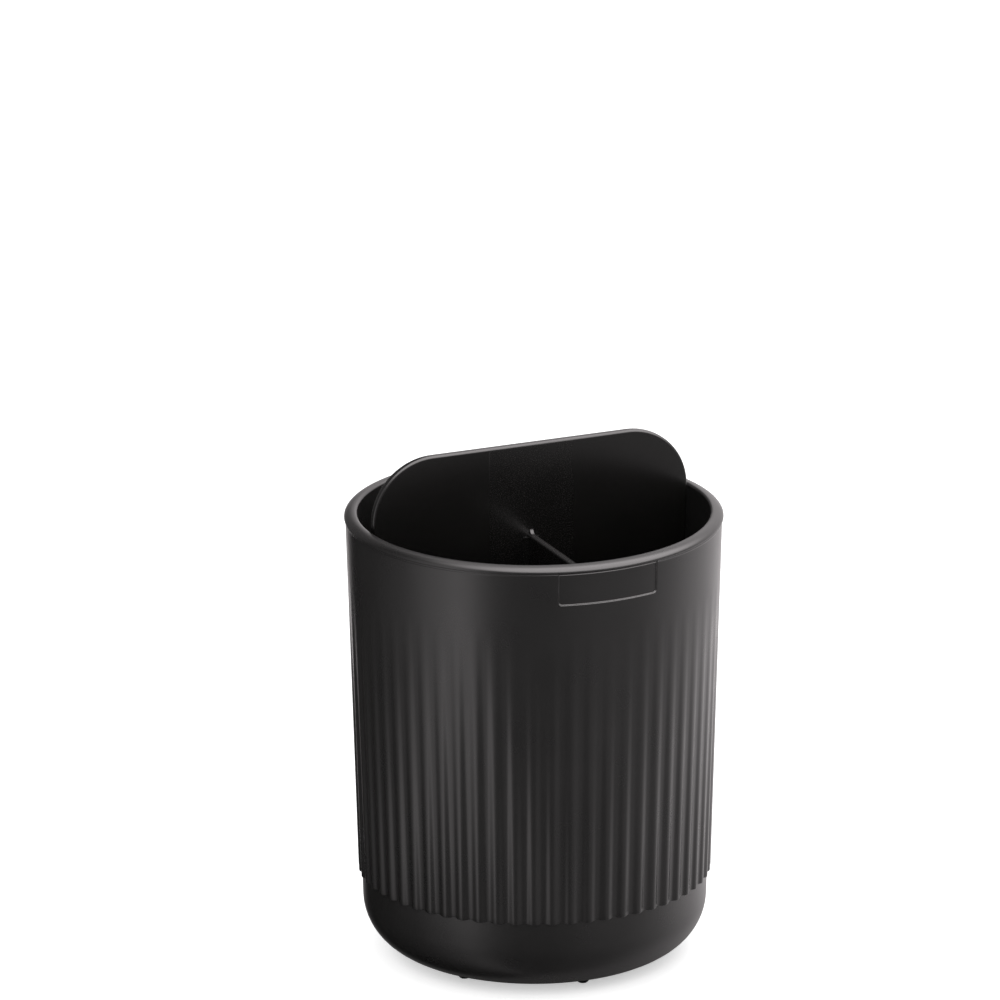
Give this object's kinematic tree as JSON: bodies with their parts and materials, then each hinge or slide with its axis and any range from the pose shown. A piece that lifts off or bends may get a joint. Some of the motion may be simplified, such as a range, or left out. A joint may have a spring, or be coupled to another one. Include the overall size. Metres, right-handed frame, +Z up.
{
  "type": "toothbrush holder",
  "caption": "Free-standing round plastic cup with a ribbed wall and a rounded base, parted inside by a lift-out divider with a tall rounded panel and a low cross wall.",
  "frame": {"origin": "on the cup's axis, in the plane that the feet stand on", "axes": "+Z up along the cup's axis, -Y towards the plaque, +X to the right of the plaque seen from the front"},
  "size_m": [0.09, 0.09, 0.1258],
  "materials": {
    "cup_plastic": "satin charcoal moulded plastic",
    "divider_plastic": "satin charcoal moulded plastic",
    "foot_rubber": "matt black rubber"
  },
  "bodies": {
    "cup_body": {"cup": "cup_plastic", "foot_1": "foot_rubber", "foot_2": "foot_rubber", "foot_3": "foot_rubber", "foot_4": "foot_rubber", "foot_5": "foot_rubber", "foot_6": "foot_rubber"},
    "divider_body": {"divider": "divider_plastic"}
  },
  "joints": [
    {"name": "divider_lift", "type": "slide", "parent": "cup_body", "child": "divider_body", "axis": [0, 0, 1], "range_m": [0, 0.11]}
  ]
}
